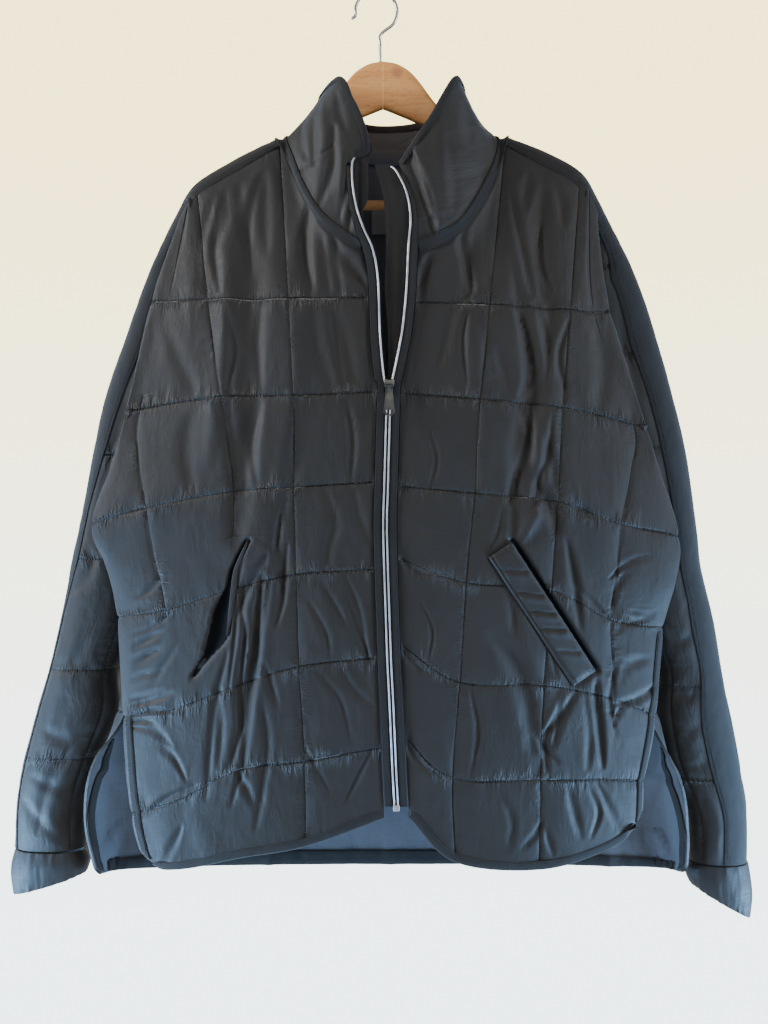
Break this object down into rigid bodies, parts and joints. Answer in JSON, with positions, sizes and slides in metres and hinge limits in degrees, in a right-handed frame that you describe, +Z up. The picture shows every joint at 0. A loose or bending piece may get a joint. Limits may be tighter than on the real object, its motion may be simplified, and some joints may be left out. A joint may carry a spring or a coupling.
{
  "type": "puffer jacket on a wooden hanger",
  "caption": "Lightly padded, quilted zip jacket with a stand collar, slanted pockets and side vents, hanging open at the neck on a wooden hanger with a wire hook.",
  "frame": {"origin": "inner top of the wire hook, where it rests on a rail", "axes": "+Z up, the jacket's front faces -Y, +X to the right when looking at the front"},
  "size_m": [0.771, 0.127, 0.9591],
  "materials": {
    "quilted_nylon": "padded, quilted ripstop nylon with a soft sheen",
    "twill": "matte woven twill tape and band",
    "zip_tape": "matte knitted zip tape",
    "silver_coil": "silver-coated coil teeth",
    "gunmetal": "dark gunmetal plating, softly polished",
    "beech": "clear-lacquered beech",
    "hook_wire": "bright bent wire",
    "label": "woven bare label"
  },
  "bodies": {
    "jacket": {"back": "quilted_nylon", "back_hem_casing": "twill", "coil_left": "silver_coil", "coil_right": "silver_coil", "collar": "quilted_nylon", "collar_binding": "twill", "cuff_left": "quilted_nylon", "cuff_right": "quilted_nylon", "front_left": "quilted_nylon", "front_right": "quilted_nylon", "hanger_arm_left": "beech", "hanger_arm_right": "beech", "hanger_bar": "beech", "hem_binding_left": "twill", "hem_binding_right": "twill", "hook": "hook_wire", "inner_neck_tape": "twill", "neck_label": "label", "neck_tape": "twill", "overarm_band_left": "twill", "overarm_band_right": "twill", "placket_left": "twill", "placket_right": "twill", "pocket_welt_left": "quilted_nylon", "pocket_welt_right": "quilted_nylon", "side_tape_left": "twill", "side_tape_right": "twill", "sleeve_left": "quilted_nylon", "sleeve_right": "quilted_nylon", "slider": "gunmetal", "vent_tape_left": "twill", "vent_tape_right": "twill", "zip_chain": "silver_coil", "zip_facing_left": "twill", "zip_facing_right": "twill", "zip_retainer": "silver_coil", "zip_tape_left": "zip_tape", "zip_tape_right": "zip_tape"},
    "zip_pull": {"pull_tab": "gunmetal"}
  },
  "joints": [
    {"name": "pull_tab_hinge", "type": "hinge", "parent": "jacket", "child": "zip_pull", "pos_m": [0.013, -0.0683, -0.4137], "axis": [-1, 0, 0], "range_deg": [0, 165]}
  ]
}
